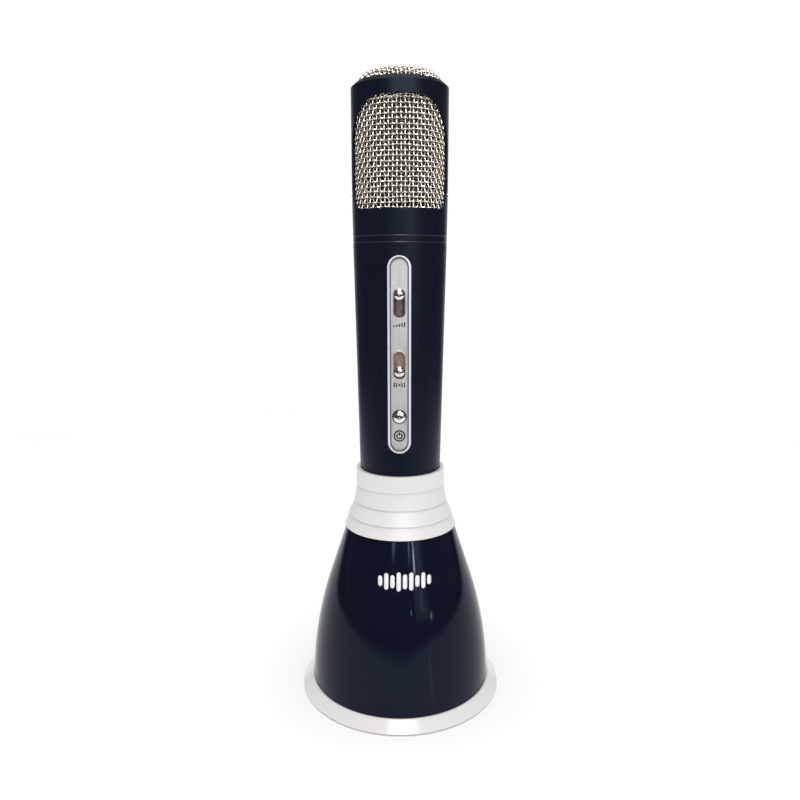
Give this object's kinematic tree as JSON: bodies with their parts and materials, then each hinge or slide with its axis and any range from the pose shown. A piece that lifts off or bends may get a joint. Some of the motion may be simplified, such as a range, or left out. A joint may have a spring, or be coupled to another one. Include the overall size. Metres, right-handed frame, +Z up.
{
  "type": "karaoke microphone",
  "caption": "Cordless karaoke microphone with woven grille in a windowed head, slider strip on a tapered handle, and a bell-shaped speaker base it stands on.",
  "frame": {"origin": "centre of the circle on which the rubber foot ring stands", "axes": "+Z up along the handle, the control strip faces -Y, +X to the right of someone who looks at the controls"},
  "size_m": [0.084, 0.084, 0.25],
  "materials": {
    "navy_satin": "satin navy-black coating",
    "navy_gloss": "high gloss navy-black moulding",
    "white_gloss": "gloss white moulding",
    "white_satin": "smooth white moulding",
    "grille_wire": "woven champagne wire",
    "foam_grey": "open-cell foam",
    "black_plastic": "moulded",
    "rubber_black": "matt",
    "bright_chrome": "polished",
    "bezel_silver": "bright silver plating",
    "panel_silver": "satin silver",
    "steel": "zinc plated",
    "wafer_brown": "phenolic laminate",
    "lever_grey": "moulded",
    "board_green": "solder mask",
    "chip_black": "moulded epoxy",
    "battery_sleeve": "shrink sleeve",
    "nickel": "plain",
    "light_clear": "clear rod",
    "grille_black": "powder coat",
    "paper_black": "pressed paper",
    "ferrite": "sintered",
    "copper_coil": "enamelled winding",
    "cloth_amber": "resin-stiffened cloth"
  },
  "bodies": {
    "microphone": {"head_frame": "navy_satin", "mesh_grille": "grille_wire", "grille_hem_ring": "nickel", "foam_windscreen": "foam_grey", "capsule_carrier": "black_plastic", "capsule_mount": "rubber_black", "mic_capsule": "steel", "head_screws": "bright_chrome", "joint_ring": "navy_satin", "handle_tube": "navy_satin", "strip_bezel": "bezel_silver", "control_panel": "panel_silver", "volume_case": "steel", "volume_wafer": "wafer_brown", "echo_case": "steel", "echo_wafer": "wafer_brown", "power_switch": "black_plastic", "main_board": "board_green", "board_screws": "steel", "radio_module": "nickel", "signal_chips": "chip_black", "capacitors": "nickel", "inner_chassis": "black_plastic", "battery_cell": "battery_sleeve", "battery_tabs": "nickel", "port_plate": "black_plastic", "port_board": "board_green", "aux_jack": "black_plastic", "usb_socket": "nickel", "charge_light": "light_clear", "collar": "white_satin", "collar_screws": "steel", "bell_shell": "navy_gloss", "base_ring": "white_gloss", "foot_ring": "rubber_black", "speaker_grille": "grille_black", "speaker_baffle": "black_plastic", "speaker_gasket": "rubber_black", "speaker_basket": "steel", "speaker_screws": "steel", "speaker_top_plate": "steel", "speaker_magnet": "ferrite", "speaker_yoke": "steel", "speaker_surround": "rubber_black", "speaker_spider": "cloth_amber"},
    "volume_slider": {"volume_knob": "bright_chrome", "volume_lever": "lever_grey"},
    "echo_slider": {"echo_knob": "bright_chrome", "echo_lever": "lever_grey"},
    "power_key": {"power_button": "bright_chrome", "switch_plunger": "lever_grey"},
    "diaphragm": {"speaker_cone": "paper_black", "voice_coil": "copper_coil", "dust_cap": "paper_black"}
  },
  "joints": [
    {"name": "volume_slide", "type": "slide", "parent": "microphone", "child": "volume_slider", "axis": [0, -0.021, 0.9998], "range_m": [-0.0067, 0]},
    {"name": "echo_slide", "type": "slide", "parent": "microphone", "child": "echo_slider", "axis": [0, -0.021, 0.9998], "range_m": [-0.001, 0.0057]},
    {"name": "power_press", "type": "slide", "parent": "microphone", "child": "power_key", "axis": [0, 0.9998, 0.021], "range_m": [0, 0.0005], "stiffness_N_per_m": 1500},
    {"name": "cone_travel", "type": "slide", "parent": "microphone", "child": "diaphragm", "axis": [0, 0, 1], "range_m": [-0.0008, 0.0008], "stiffness_N_per_m": 1200, "deforming": ["speaker_surround", "speaker_spider"]}
  ]
}
